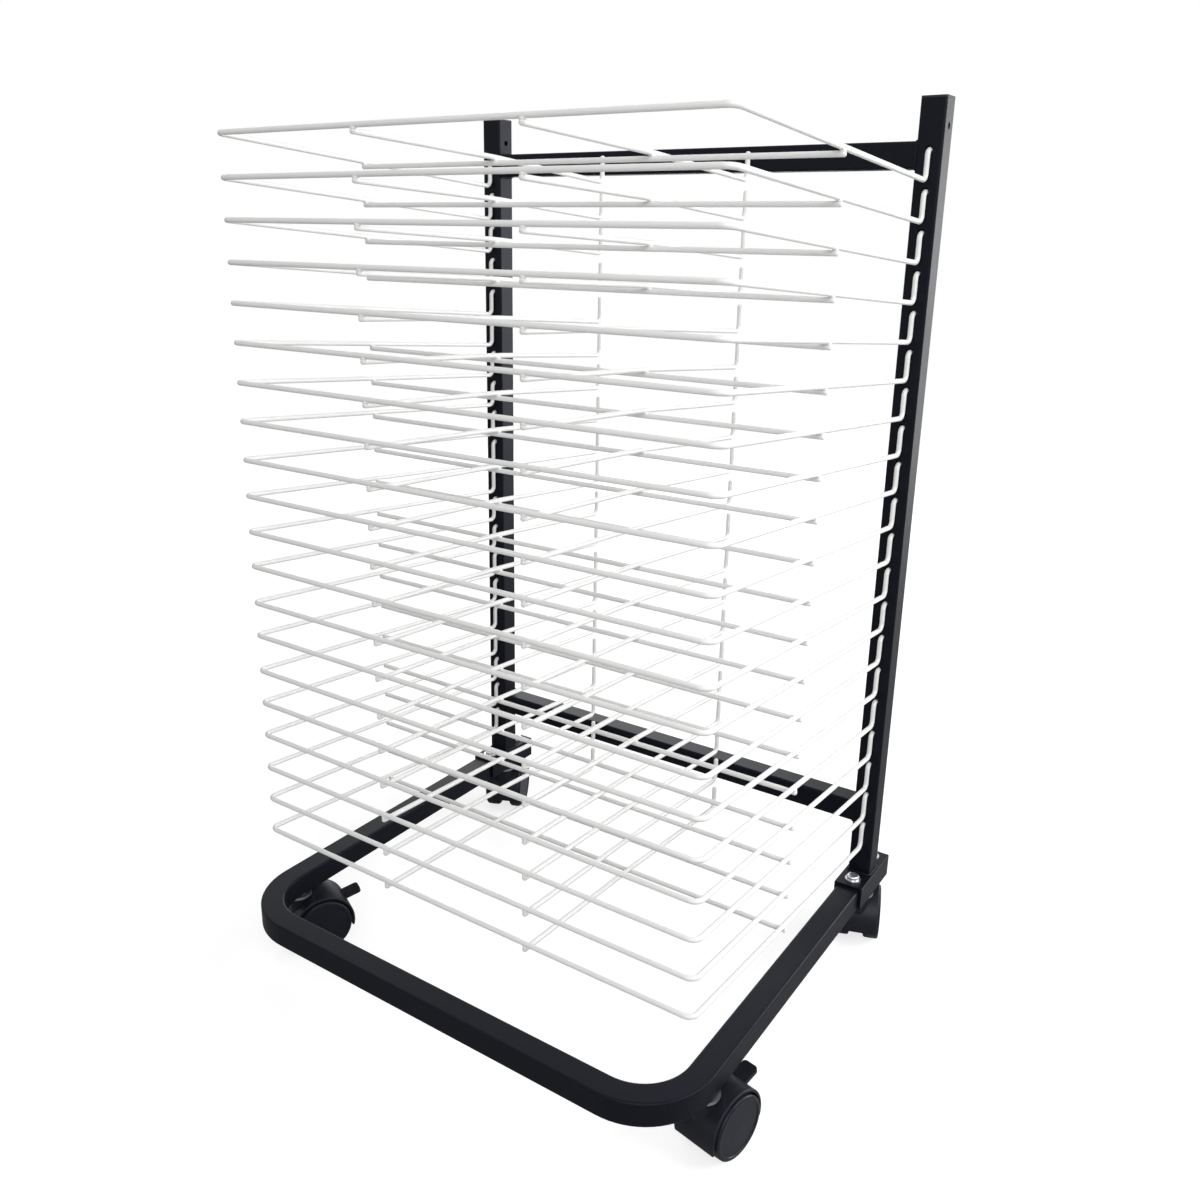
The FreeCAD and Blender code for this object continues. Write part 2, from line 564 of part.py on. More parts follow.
# Wheel: X = 0 at its inner face, hollow on that side, with a blind bore and a grooved cap disc outside.
wheel = new_body("caster_wheel")
half_section = new_sketch(wheel, "wheel_section", "XZ_Plane")
bore = "sizes.axle / 2 + sizes.running_clearance"
bore_end = f"sizes.axle_length / 2 - {WHEEL_START} + sizes.lever_clearance"
rim_inside = "sizes.wheel_diameter / 2 - sizes.wheel_rim"
groove_floor = "sizes.wheel_width - sizes.cap_groove"
polygon(half_section, [("0", bore), ("0", "sizes.wheel_hub / 2"), ("sizes.wheel_recess", "sizes.wheel_hub / 2"),
                       ("sizes.wheel_recess", rim_inside), ("0", rim_inside), ("0", "sizes.wheel_diameter / 2"),
                       ("sizes.wheel_width", "sizes.wheel_diameter / 2"),
                       ("sizes.wheel_width", "(sizes.cap_disc + sizes.cap_groove) / 2"),
                       (groove_floor, "(sizes.cap_disc + sizes.cap_groove) / 2"),
                       (groove_floor, "(sizes.cap_disc - sizes.cap_groove) / 2"),
                       ("sizes.wheel_width", "(sizes.cap_disc - sizes.cap_groove) / 2"),
                       ("sizes.wheel_width", "0"), (bore_end, "0"), (bore_end, bore)])
revolve(wheel, "wheel_turned", half_section)
tread = number("sizes.wheel_diameter / 2")
fillet(wheel, "wheel_edges", "sizes.wheel_edge", lambda edge: isinstance(edge.Curve, Part.Circle)
       and abs(edge.Curve.Radius - tread) < 0.01)


def hood(name, braked):
    """Shell over both wheels, the web between them with its axle hub, and the boss the stem turns in."""
    body = new_body(name)
    disc(body, f"{name}_boss", "sizes.boss", "0", f"{BOSS_TOP} - {WHEEL_AXIS}", y="-sizes.trail")
    spaces = new_sketch(body, f"{name}_wheel_spaces", "XZ_Plane")
    for side in (-1, 1):
        polygon(spaces, [(f"{side} * sizes.web / 2", "0"), (f"{side} * sizes.hood_width", "0"),
                         (f"{side} * sizes.hood_width", HOOD_INSIDE), (f"{side} * sizes.web / 2", HOOD_INSIDE)])
    doc.recompute()
    before = body.Shape.Volume
    cut = body.newObject("PartDesign::Groove", f"{name}_wheel_space_cut")
    cut.Profile = spaces
    cut.ReferenceAxis = (spaces, ["H_Axis"])
    doc.recompute()
    assert body.Shape.Volume < before - 0.01, "the wheel spaces cut nothing"

    shell = new_sketch(body, f"{name}_section", "XZ_Plane", tilt="sizes.hood_tilt")
    half, web = "sizes.hood_width / 2", "sizes.web / 2"
    polygon(shell, [(f"-{web}", "0"), (web, "0"), (web, HOOD_INSIDE), (half, HOOD_INSIDE), (half, "sizes.hood / 2"),
                    (f"-{half}", "sizes.hood / 2"), (f"-{half}", HOOD_INSIDE), (f"-{web}", HOOD_INSIDE)])
    revolve(body, f"{name}_shell", shell, "sizes.hood_wrap")
    outer, side_face = number("sizes.hood / 2"), number(half)
    fillet(body, f"{name}_edges", "sizes.hood_edge", lambda edge: isinstance(edge.Curve, Part.Circle)
           and abs(edge.Curve.Radius - outer) < 0.01 and abs(abs(edge.Curve.Center.x) - side_face) < 0.01)
    cross_pin(body, f"{name}_hub", "sizes.axle_hub", "sizes.web")
    cross_pin(body, f"{name}_axle_hole", "sizes.axle", "2 * sizes.web", cut=True)
    bore = new_sketch(body, f"{name}_stem_bore", "XY_Plane", lift=f"{BOSS_TOP} - {WHEEL_AXIS}")
    circle(bore, STEM_BORE, "0", "-sizes.trail")
    pocket(body, f"{name}_stem_bore_cut", bore, f"{BOSS_TOP} - sizes.stem_bottom + sizes.swivel_clearance")
    if braked:
        for part, width, corners in lever_slots():
            outline = new_sketch(body, f"{name}_{part}", "YZ_Plane")
            polygon(outline, corners)
            pocket(body, f"{name}_{part}_cut", outline, f"{width} + 2 * sizes.lever_clearance", middle=True)
        pivot = new_sketch(body, f"{name}_pivot_holes", "YZ_Plane")
        circle(pivot, "sizes.lever_pin + 2 * sizes.running_clearance", *PIVOT)
        pocket(body, f"{name}_pivot_cut", pivot, "sizes.web", middle=True)
    return body


# ---------------------------------------------------------------- brake levers
# A rocker on a pin in the web: a narrow neck inside, and a wide foot tab through a slot in the hood.
PIVOT = ("sizes.lever_pivot * cos(sizes.lever_pivot_angle)", "sizes.lever_pivot * sin(sizes.lever_pivot_angle)")
LEVER_AT = "sizes.lever_tilt"


def from_pivot(along, above):
    """A point in the caster's side view, from its place along and above the lever."""
    return (f"{PIVOT[0]} + ({along}) * cos({LEVER_AT}) - ({above}) * sin({LEVER_AT})",
            f"{PIVOT[1]} + ({along}) * sin({LEVER_AT}) + ({above}) * cos({LEVER_AT})")


def lever_slots():
    """The web's slot around the neck and the hood's slot around the tab, both with room for the travel."""
    sweep = "tan(sizes.lever_travel)"
    heel = "(sizes.lever_heel + sizes.lever_clearance)"
    tab = "(sizes.lever_thickness / 2 + sizes.lever_clearance)"
    inner, outer = "(sizes.lever_tab_start - 2)", "(sizes.lever_tab_start + 6)"
    yield "neck_slot", "sizes.lever_neck", [
        from_pivot(f"-{heel}", f"-{heel}"), from_pivot(outer, f"-{heel} - {outer} * {sweep}"),
        from_pivot(outer, heel), from_pivot(f"-{heel}", heel)]
    yield "tab_slot", "sizes.lever_width", [
        from_pivot(inner, f"-{tab} - {inner} * {sweep}"), from_pivot(outer, f"-{tab} - {outer} * {sweep}"),
        from_pivot(outer, tab), from_pivot(inner, tab)]


lever = new_body("brake_lever")
cross_pin(lever, "lever_heel", "2 * sizes.lever_heel", "sizes.lever_neck")
for part, width, thickness, start, finish in (
        ("lever_neck", "sizes.lever_neck", "sizes.lever_neck_thickness", "0", "sizes.lever_tab_start + 4"),
        ("lever_tab", "sizes.lever_width", "sizes.lever_thickness", "sizes.lever_tab_start", "sizes.lever_reach")):
    outline = new_sketch(lever, part, "YZ_Plane")
    polygon(outline, [(start, f"-{thickness} / 2"), (finish, f"-{thickness} / 2"),
                      (finish, f"{thickness} / 2"), (start, f"{thickness} / 2")])
    pad(lever, f"{part}_pad", outline, width, middle=True)
tip = number("sizes.lever_reach")
fillet(lever, "lever_tip", "sizes.lever_corner", lambda edge: all(
    abs(v.Y - tip) < 0.01 for v in edge.Vertexes) and abs(edge.Vertexes[0].X - edge.Vertexes[-1].X) < 0.01)
cross_pin(lever, "lever_pin", "sizes.lever_pin", "sizes.web - sizes.lever_clearance")
lever.Placement.Rotation = FreeCAD.Rotation(Vector(1, 0, 0), number(LEVER_AT))
lever.setExpression(".Placement.Rotation.Angle", LEVER_AT)
place(lever, "0", *PIVOT)

plain_hood = hood("plain_hood", False)
braked_hood = hood("braked_hood", True)

# ---------------------------------------------------------------- casters in their places
for spot, side, along, cover in (("front_left", -1, "-sizes.front_stem", braked_hood),
                                 ("front_right", 1, "-sizes.front_stem", braked_hood),
                                 ("rear_left", -1, "sizes.upright_back", plain_hood),
                                 ("rear_right", 1, "sizes.upright_back", plain_hood)):
    turn = f"sizes.{spot}_swivel"
    stem_x = f"{side} * {HALF_SPAN}"
    axle_x = f"{stem_x} - sizes.trail * sin({turn})"
    axle_y = f"{along} + sizes.trail * cos({turn})"
    name = f"{spot}_caster_stem"
    node(placed(name, stem, stem_x, along, "0"), name)
    pieces = [(f"{spot}_caster_hood", cover), (f"{spot}_caster_axle", axle)]
    if cover is braked_hood:
        pieces.append((f"{spot}_brake_lever", lever))
    for name, source in pieces:
        node(placed(name, source, axle_x, axle_y, WHEEL_AXIS, turn), name)
    for hand, way, wheel_turn in (("left", -1, f"{turn} + 180"), ("right", 1, turn)):
        name = f"{spot}_{hand}_wheel"
        node(placed(name, wheel, f"{axle_x} + {way} * {WHEEL_START} * cos({turn})",
                    f"{axle_y} + {way} * {WHEEL_START} * sin({turn})", WHEEL_AXIS, wheel_turn), name)

for label, source, level in (("caster_inserts", stem_insert, "sizes.base_underside"),
                             ("stem_washers", stem_washer, STEM_WASHER)):
    node(group(label, [
        placed(f"{end}_{side}_{label}", source, f"{half} * {HALF_SPAN}", along, level)
        for end, along in (("front", "-sizes.front_stem"), ("rear", "sizes.upright_back"))
        for side, half in (("left", -1), ("right", 1))]), label)

# ---------------------------------------------------------------- check and write
doc.recompute()
broken = [item.Label for item in doc.Objects if {"Invalid", "Error"} & set(item.State)]
assert not broken, broken
os.makedirs("parts", exist_ok=True)
for item in nodes:
    assert not item.Shape.isNull() and item.Shape.isValid(), item.Label
for item in nodes:
    item.Shape.exportStep(f"parts/{item.Label}.step")
    print(f"{item.Label}: {len(item.Shape.Solids)} solid(s), {item.Shape.Volume:.0f} mm3")
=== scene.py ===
import json
import math

import bpy
import numpy as np
from mathutils import Matrix, Vector


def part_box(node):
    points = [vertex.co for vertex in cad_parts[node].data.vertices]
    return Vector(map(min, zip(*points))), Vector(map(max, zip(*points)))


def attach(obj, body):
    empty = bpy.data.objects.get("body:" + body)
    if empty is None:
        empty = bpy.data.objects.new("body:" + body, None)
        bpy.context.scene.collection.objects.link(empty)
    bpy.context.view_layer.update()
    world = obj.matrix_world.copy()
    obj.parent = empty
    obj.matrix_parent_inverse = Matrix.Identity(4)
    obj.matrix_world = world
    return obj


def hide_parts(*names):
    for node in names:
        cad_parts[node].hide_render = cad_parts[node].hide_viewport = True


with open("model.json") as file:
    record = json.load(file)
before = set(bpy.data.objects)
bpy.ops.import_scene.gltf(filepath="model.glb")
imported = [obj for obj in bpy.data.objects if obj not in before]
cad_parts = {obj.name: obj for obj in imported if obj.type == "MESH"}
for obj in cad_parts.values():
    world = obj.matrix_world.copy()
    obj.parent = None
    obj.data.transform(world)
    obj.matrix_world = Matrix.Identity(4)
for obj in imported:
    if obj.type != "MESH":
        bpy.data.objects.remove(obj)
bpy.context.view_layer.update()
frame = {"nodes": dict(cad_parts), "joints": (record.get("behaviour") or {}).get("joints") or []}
MM = 0.001

# ---------------------------------------------------------------- camera
# A little below the rack's top and to the right of its open front, looking slightly down at it.
# It is turned about the vertical, tipped down, and rolled by well under a degree. Angles are in radians.
CAMERA_PLACE = Vector((0.49115, -0.72112, 0.64230))
CAMERA_TURN, CAMERA_DIP, CAMERA_ROLL = 0.600612, 0.296814, 0.011406
# the focal length and the middle of the lens, in steps of a square frame that is this many steps wide
CAMERA_FOCAL, CAMERA_MIDDLE, FRAME_STEPS = 1096.341, (578.142, 561.577), 1200.0
SENSOR_WIDTH, NEAREST_SEEN = 36.0, 0.02

turn = Matrix.Rotation(CAMERA_TURN, 3, "Z") @ Matrix.Rotation(math.pi / 2 - CAMERA_DIP, 3, "X")
turn = turn @ Matrix.Rotation(CAMERA_ROLL, 3, "Z")
camera = bpy.data.objects.new("camera", bpy.data.cameras.new("camera"))
camera.matrix_world = Matrix.Translation(CAMERA_PLACE) @ turn.to_4x4()
camera.data.sensor_width = SENSOR_WIDTH
camera.data.lens = SENSOR_WIDTH * CAMERA_FOCAL / FRAME_STEPS
camera.data.shift_x = 0.5 - CAMERA_MIDDLE[0] / FRAME_STEPS
camera.data.shift_y = CAMERA_MIDDLE[1] / FRAME_STEPS - 0.5
camera.data.clip_start = NEAREST_SEEN
bpy.context.collection.objects.link(camera)
scene = bpy.context.scene
scene.camera = camera
scene.view_settings.view_transform = "Standard"


# ---------------------------------------------------------------- floor and light
# A pale studio floor under a white room, with four large soft lamps: high on the right, low at the back right,
# low at the back left, and near the camera. The camera sees the floor and the room as white, and the object is
# lit by less than that.
class Feed:
    """One output in a finish's node tree. Sums and products of feeds and numbers add Math nodes."""

    def __init__(self, tree, output=None):
        self.tree, self.output = tree, output

    def node(self, kind, settings=None, inputs=None, output=0):
        """Add a node: its settings first, then the values or feeds of its sockets."""
        made = self.tree.nodes.new("ShaderNode" + kind)
        for name, value in (settings or {}).items():
            if name == "stops":
                for stop, (at, shade) in zip(made.color_ramp.elements, value):
                    stop.position, stop.color = at, (shade, shade, shade, 1.0)
            else:
                setattr(made, name, value)
        for name, value in (inputs or {}).items():
            self.join(made.inputs[name], value)
        return Feed(self.tree, made.outputs[output])

    def join(self, socket, value):
        """Link a feed to a socket, or write a plain value into it."""
        if isinstance(value, Feed):
            self.tree.links.new(value.output, socket)
        else:
            socket.default_value = value

    def math(self, operation, first, second):
        return self.node("Math", {"operation": operation}, {0: first, 1: second})

    def __add__(self, other):
        return self.math("ADD", self, other)

    def __mul__(self, other):
        return self.math("MULTIPLY", self, other)

    __radd__, __rmul__ = __add__, __mul__


def larger(first, second):
    return first.math("MAXIMUM", first, second)


WHITE = (1.0, 1.0, 1.0, 1.0)
ROOM_LIGHT = 0.32
room = bpy.data.worlds.new("white_room")
room.use_nodes = True
scene.world = room
room_sky = room.node_tree.nodes["Background"].inputs
# white where the camera sees the room, straight on, mirrored or through glass, and dimmer as a lamp
seen_by = Feed(room.node_tree).node("LightPath")
seen = larger(larger(seen_by, seen_by.node("LightPath", output="Is Glossy Ray")),
              seen_by.node("LightPath", output="Is Transmission Ray"))
seen.join(room_sky["Color"], WHITE)
seen.join(room_sky["Strength"], ROOM_LIGHT + (1.0 - ROOM_LIGHT) * seen)

# half the floor's width, and how far it lies under the wheels, in metres
FLOOR_HALF, FLOOR_DROP = 9.0, 0.0004
FLOOR_SHADE, FLOOR_ROUGHNESS = 0.45, 0.9
# the floor's own glow near the rack and far from it, and the distances where the change begins and ends
NEAR_LIFT, FAR_LIFT, LIFT_FROM, LIFT_TO = 0.72, 0.86, 0.3, 3.5

floor_mesh = bpy.data.meshes.new("studio_floor")
floor_corners = [(FLOOR_HALF * x, FLOOR_HALF * y, 0) for x, y in ((-1, -1), (1, -1), (1, 1), (-1, 1))]
floor_mesh.from_pydata(floor_corners, [], [(0, 1, 2, 3)])
floor = bpy.data.objects.new("studio_floor", floor_mesh)
floor.location.z = -FLOOR_DROP
bpy.context.collection.objects.link(floor)
floor_finish = bpy.data.materials.new("floor_paint")
floor_finish.use_nodes = True
floor_tree = Feed(floor_finish.node_tree)
floor_shader = floor_finish.node_tree.nodes["Principled BSDF"]
floor_tree.join(floor_shader.inputs["Base Color"], (FLOOR_SHADE, FLOOR_SHADE, FLOOR_SHADE, 1.0))
floor_tree.join(floor_shader.inputs["Roughness"], FLOOR_ROUGHNESS)
floor_tree.join(floor_shader.inputs["Specular IOR Level"], 0.0)
floor_tree.join(floor_shader.inputs["Emission Color"], WHITE)
# the lamps reach the near floor only, so the far floor is lifted more, as far as the camera sees
away = floor_tree.node("VectorMath", {"operation": "LENGTH"}, {0: floor_tree.node("TexCoord", output="Object")},
                       output="Value")
lift = floor_tree.node("MapRange", {"interpolation_type": "SMOOTHSTEP"},
                       {"Value": away, "From Min": LIFT_FROM, "From Max": LIFT_TO,
                        "To Min": NEAR_LIFT, "To Max": FAR_LIFT})
floor_tree.join(floor_shader.inputs["Emission Strength"], lift * floor_tree.node("LightPath"))
floor_mesh.materials.append(floor_finish)


def soft_lamp(name, place, target, width, power):
    """A square lamp at a place, facing a target, with its width in metres and its power in watts."""
    lamp = bpy.data.objects.new(name, bpy.data.lights.new(name, "AREA"))
    lamp.data.size, lamp.data.energy = width, power
    lamp.location = place
    lamp.rotation_euler = (Vector(target) - Vector(place)).to_track_quat("-Z", "Y").to_euler()
    bpy.context.collection.objects.link(lamp)


soft_lamp("right_softbox", (2.1, 0.5, 1.9), (0.0, 0.0, 0.35), 1.5, 38.0)
soft_lamp("back_softbox", (1.4, 1.9, 0.5), (0.0, 0.0, 0.3), 1.1, 28.0)
soft_lamp("left_softbox", (-1.2, 1.9, 0.85), (0.0, 0.0, 0.3), 1.2, 12.0)
soft_lamp("front_softbox", (1.0, -1.6, 1.35), (0.0, 0.0, 0.35), 1.3, 20.0)


# ---------------------------------------------------------------- uprights
# Two square steel tubes with a row of punched hook holes, powder coated black.
# They stand on the saddles and are welded to them and to both crossbars.
def new_finish(name, colour, roughness, metallic=0.0, **fixed):
    """A material whose shader has these constant values; returns it, its shader and a feed to build on."""
    material = bpy.data.materials.new(name)
    material.use_nodes = True
    shader = material.node_tree.nodes["Principled BSDF"]
    tree = Feed(material.node_tree)
    tree.join(shader.inputs["Base Color"], (*colour, 1.0))
    tree.join(shader.inputs["Roughness"], roughness)
    tree.join(shader.inputs["Metallic"], metallic)
    for socket, value in fixed.items():
        tree.join(shader.inputs[socket.replace("_", " ")], value)
    return material, shader, tree


def noise(tree, size, detail=2.0, rough=0.5):
    """A noise from 0 to 1 whose blobs are about this many metres across."""
    return tree.node("TexNoise", {}, {"Vector": tree.node("TexCoord", output="Object"), "Scale": 1.0 / size,
                                      "Detail": detail, "Roughness": rough})


def tinted(tree, amount, dark, pale):
    """The colour between two shades, by an amount from 0 to 1."""
    return tree.node("Mix", {"data_type": "RGBA", "clamp_factor": True},
                     {"Factor": amount, 6: (*dark, 1.0), 7: (*pale, 1.0)}, output=2)


def bumped(tree, height, depth, reach):
    """A surface tilted by a height from 0 to 1: depth is how much of it counts, reach its height in metres."""
    return tree.node("Bump", {}, {"Height": height, "Strength": depth, "Distance": reach}, output="Normal")


def dress(finish, *names):
    """Give CAD nodes a finish."""
    for name in names:
        for holder in frame["nodes"][name].material_slots:
            holder.link = "OBJECT"
            holder.material = finish


black_coat, shader, tree = new_finish("black_powder_coat", (0.0045, 0.0053, 0.0090), 0.45,
                                      IOR=1.22, Specular_Tint=(0.84, 0.88, 1.0, 1.0))
patches, peel, grit = noise(tree, 0.09, 3.0), noise(tree, 0.0022, 1.0), noise(tree, 0.0006, 1.0)
tree.join(shader.inputs["Base Color"],
          tinted(tree, patches, (0.0030, 0.0037, 0.0068), (0.0055, 0.0064, 0.0105)))
tree.join(shader.inputs["Roughness"], 0.34 + 0.10 * patches + 0.05 * grit)
tree.join(shader.inputs["Normal"], bumped(tree, peel + 0.35 * grit, 0.22, 0.00025))
dress(black_coat, "left_upright", "right_upright")


# ---------------------------------------------------------------- crossbars
# Two short lengths of the same tube between the uprights, welded all round at both ends before coating.
# The beads are small and rippled, and the coating runs over them.
def new_piece(name, body, finish, points, faces):
    """A mesh from an array of points in metres and a list of face index arrays, riding on a body."""
    mesh = bpy.data.meshes.new(name)
    mesh.from_pydata(points.reshape(-1, 3).tolist(), [], [face for part in faces for face in part.tolist()])
    mesh.shade_smooth()
    mesh.materials.append(finish)
    piece = bpy.data.objects.new(name, mesh)
    bpy.context.collection.objects.link(piece)
    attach(piece, body)
    return piece


def full_turn(sides):
    """The angles of this many points spaced evenly round a circle."""
    return np.linspace(0, 2 * np.pi, sides + 1)[:-1]


def grid_faces(rings, around, closed_along=False, start=0):
    """Quads between neighbouring rings of a grid whose rings are closed.

    They face out when the rings turn clockwise, seen along the path.
    """
    ring = np.arange(rings if closed_along else rings - 1)[:, None]
    spoke = np.arange(around)[None, :]
    after, beside = (ring + 1) % rings, (spoke + 1) % around
    quads = np.stack([ring * around + spoke, ring * around + beside,
                      after * around + beside, after * around + spoke], axis=-1)
    return quads.reshape(-1, 4) + start


def straight(start, end, step):
    """Evenly spaced points from start up to, and without, end."""
    count = max(1, round(float(np.linalg.norm(end - start)) / step))
    return start + (end - start) * np.linspace(0, 1, count + 1)[:-1, None]


def bent_line(corners, radii, step, arc_step=math.radians(15)):
    """Points along straight runs through the corners, where every inner corner is replaced by a tangent arc.

    An arc of radius r starts r*tan(angle/2) before its corner. Its points are
    start + r*(sin a * way in + (1 - cos a) * square to it), for a from 0 to the angle.
    """
    corners = np.asarray(corners, float)
    runs = corners[1:] - corners[:-1]
    ways = runs / np.linalg.norm(runs, axis=1)[:, None]
    pieces, at = [], corners[0]
    for corner, radius, way, onward in zip(corners[1:-1], radii, ways[:-1], ways[1:]):
        angle = math.acos(np.clip(way @ onward, -1, 1))
        cut = radius * math.tan(angle / 2)
        begin = corner - way * cut
        pieces.append(straight(at, begin, step))
        inward = onward - way * (way @ onward)
        inward /= np.linalg.norm(inward)
        sweep = np.linspace(0, angle, max(2, math.ceil(angle / arc_step) + 1))[:-1, None]
        pieces.append(begin + radius * (np.sin(sweep) * way + (1 - np.cos(sweep)) * inward))
        at = corner + onward * cut
    pieces += [straight(at, corners[-1], step), corners[-1:]]
    return np.concatenate(pieces)


def section_axes(path, reference, closed=False):
    """The path's direction and two unit vectors across it: reference x direction, and direction x that."""
    if closed:
        tangent = np.roll(path, -1, axis=0) - np.roll(path, 1, axis=0)
    else:
        tangent = np.gradient(path, axis=0)
    tangent /= np.linalg.norm(tangent, axis=1)[:, None]
    side = np.cross(reference, tangent)
    side /= np.linalg.norm(side, axis=1)[:, None]
    return tangent, side, np.cross(tangent, side)


BEAD_SIDES, BEAD_CORNER, BEAD_STEP, BEAD_PITCH = 8, 1.8, 0.4, 1.9
# how much of the bead's radius is steady, ripples once a drop, and swells three times round the tube
BEAD_STEADY, BEAD_RIPPLE, BEAD_SWELL, SWELLS = 0.92, 0.16, 0.07, 3
# half the bead line's size across and along the tube's wall, and the bead's radius
BAR_BEAD = (9.6, 10.1, 1.1)


def weld_bead(middle, across, along, half_across, half_along, radius, phase):
    """A rippled bead on a closed rectangular line round a tube.

    Each ring is a circle about the line. Its radius is r*(steady + ripple*|sin(pi*(s/pitch + phase))|
    + swell*sin(2*pi*(swells*s/whole + phase))), where s is the distance along the line.
    """
    across, along = np.array(across, float), np.array(along, float)
    corners = [middle + a * half_across * across + b * half_along * along
               for a, b in ((0, -1), (1, -1), (1, 1), (-1, 1), (-1, -1), (0, -1))]
    line = bent_line(corners, [BEAD_CORNER] * 4, BEAD_STEP)[:-1]
    run = np.concatenate([[0], np.cumsum(np.linalg.norm(np.diff(line, axis=0), axis=1))])
    whole = run[-1] + np.linalg.norm(line[0] - line[-1])
    beads = round(whole / BEAD_PITCH)
    ripple = np.abs(np.sin(np.pi * (run / whole * beads + phase)))
    swell = np.sin(2 * np.pi * (run / whole * SWELLS + phase))
    size = (radius * (BEAD_STEADY + BEAD_RIPPLE * ripple + BEAD_SWELL * swell))[:, None, None]
    _, side, upward = section_axes(line, np.cross(across, along), closed=True)
    turn = full_turn(BEAD_SIDES)[None, :, None]
    return line[:, None] + size * (np.cos(turn) * side[:, None] + np.sin(turn) * upward[:, None])


dress(black_coat, "top_crossbar", "bottom_crossbar")
for bar in ("top_crossbar", "bottom_crossbar"):
    low, high = (np.array(corner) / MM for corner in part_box(bar))
    centre = (low + high) / 2
    rings = [weld_bead(np.array([x, centre[1], centre[2]]), (0, 1, 0), (0, 0, 1), *BAR_BEAD, phase)
             for x, phase in ((low[0], 0.2), (high[0], 0.7))]
    left_count, right_count = len(rings[0]), len(rings[1])
    faces = [grid_faces(left_count, BEAD_SIDES, True),
             grid_faces(right_count, BEAD_SIDES, True, left_count * BEAD_SIDES)]
    new_piece(f"{bar}_welds", "frame", black_coat, np.concatenate(rings) * MM, faces)

# ---------------------------------------------------------------- base
# One length of the tube bent into a U, with two large corner bends, lying flat under the shelves.
# It is drilled for the caster stems and the saddle screws, and coated with the rest of the frame.
dress(black_coat, "base_frame")

# ---------------------------------------------------------------- saddles
# Short channels of folded plate over the ends of the base's arms, screwed down through their tops.
# Each upright is welded to its saddle with a bead round its foot.
FOOT_BEAD, FOOT_LIFT = (10.1, 10.1, 1.3), 0.2

dress(black_coat, "left_saddle", "right_saddle")
for side, phase in (("left", 0.4), ("right", 0.1)):
    low, high = (np.array(corner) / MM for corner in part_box(f"{side}_upright"))
    foot = np.array([*(low + high)[:2] / 2, low[2] + FOOT_LIFT])
    ring = weld_bead(foot, (1, 0, 0), (0, 1, 0), *FOOT_BEAD, phase)
    new_piece(f"{side}_foot_weld", "frame", black_coat, ring * MM,
              [grid_faces(len(ring), BEAD_SIDES, True)])

# ---------------------------------------------------------------- tube caps and plugs
# Moulded black plastic, pushed into the open tops of the uprights and the rear ends of the base.
# Plain matt polyethylene with a fine spark-eroded texture.
cap_plastic, shader, tree = new_finish("cap_plastic", (0.020, 0.020, 0.021), 0.55, IOR=1.35)
texture = noise(tree, 0.0009, 2.0)
tree.join(shader.inputs["Roughness"], 0.52 + 0.14 * texture)
tree.join(shader.inputs["Normal"], bumped(tree, texture, 0.25, 0.0002))
dress(cap_plastic, "upright_caps", "base_end_plugs")

# ---------------------------------------------------------------- saddle screws, washers and inserts
# Bright zinc-plated steel: slotted pan-head screws on plain washers, in threaded inserts in the base.
# The plating is cool and slightly cloudy, with fine turning marks.
zinc, shader, tree = new_finish("zinc_plate", (0.63, 0.64, 0.66), 0.3, 1.0)
cloud, marks = noise(tree, 0.006, 3.0), noise(tree, 0.0007, 1.0)
tree.join(shader.inputs["Base Color"], tinted(tree, cloud, (0.52, 0.53, 0.56), (0.72, 0.73, 0.74)))
tree.join(shader.inputs["Roughness"], 0.22 + 0.16 * cloud + 0.06 * marks)
tree.join(shader.inputs["Normal"], bumped(tree, marks, 0.12, 0.0001))
dress(zinc, "saddle_screws", "saddle_washers", "saddle_inserts")

# ---------------------------------------------------------------- shelves
# Each shelf is 4 mm steel wire: an edge wire bent into hooks at the rear, two long wires whose rear ends stand
# up as paper stops, and one wire across below them, spot welded where they meet and coated white.
# The hook tips hang in the holes of the uprights.
SHELVES, PITCH, LOWEST = 20, 30.0, 108.0
WIRE, HALF_SPAN, HOOK_LEG, REACH, RISE = 4.0, 210.0, 145.7, 315.0, 26.0
HOOK_HEIGHT, TIP_REACH, STOP_BACK, CROSS_BACK, LONG_X = 22.0, 9.0, 17.0, 166.0, 70.0
TIP_BEND, HOOK_BEND, FRONT_BEND, STOP_BEND, KINK_BEND = 4.0, 5.0, 7.0, 5.0, 400.0
# between the middles of two wires that cross, the long wires' dip under the edge wire, and the wires' ends
CROSSING, END_DIP, OVERHANG = 4.05, 0.03, 1.0
# half the width and half the height of a spot weld, at the long wires and at the edge wire
LONG_WELD, EDGE_WELD, FRONT_WELD_SETBACK = (2.5, 1.5), (2.4, 1.5), 0.2
WIRE_SIDES, WIRE_STEP, WELD_SIDES = 12, 14.0, 8
WELD_RINGS = (-60.0, -30.0, 0.0, 30.0, 60.0)
# the angles of a wire end's rings, and how far its dome stands out, in radii
DOME_RINGS, DOME = (72.0, 45.0, 20.0), 0.7
# the spread of each shelf's own twist, bow and tip at its front edge
SHELF_SPREAD = (0.30, 0.22, 0.25)
slope = math.atan2(RISE, REACH)

white_coat, shader, tree = new_finish("white_dip_coat", (0.86, 0.86, 0.85), 0.38, IOR=1.45)
lumps, dust = noise(tree, 0.0035, 2.0), noise(tree, 0.05, 3.0)
tree.join(shader.inputs["Base Color"], tinted(tree, dust, (0.82, 0.82, 0.81), (0.89, 0.89, 0.88)))
tree.join(shader.inputs["Roughness"], 0.34 + 0.12 * lumps)
tree.join(shader.inputs["Normal"], bumped(tree, lumps, 0.15, 0.0003))


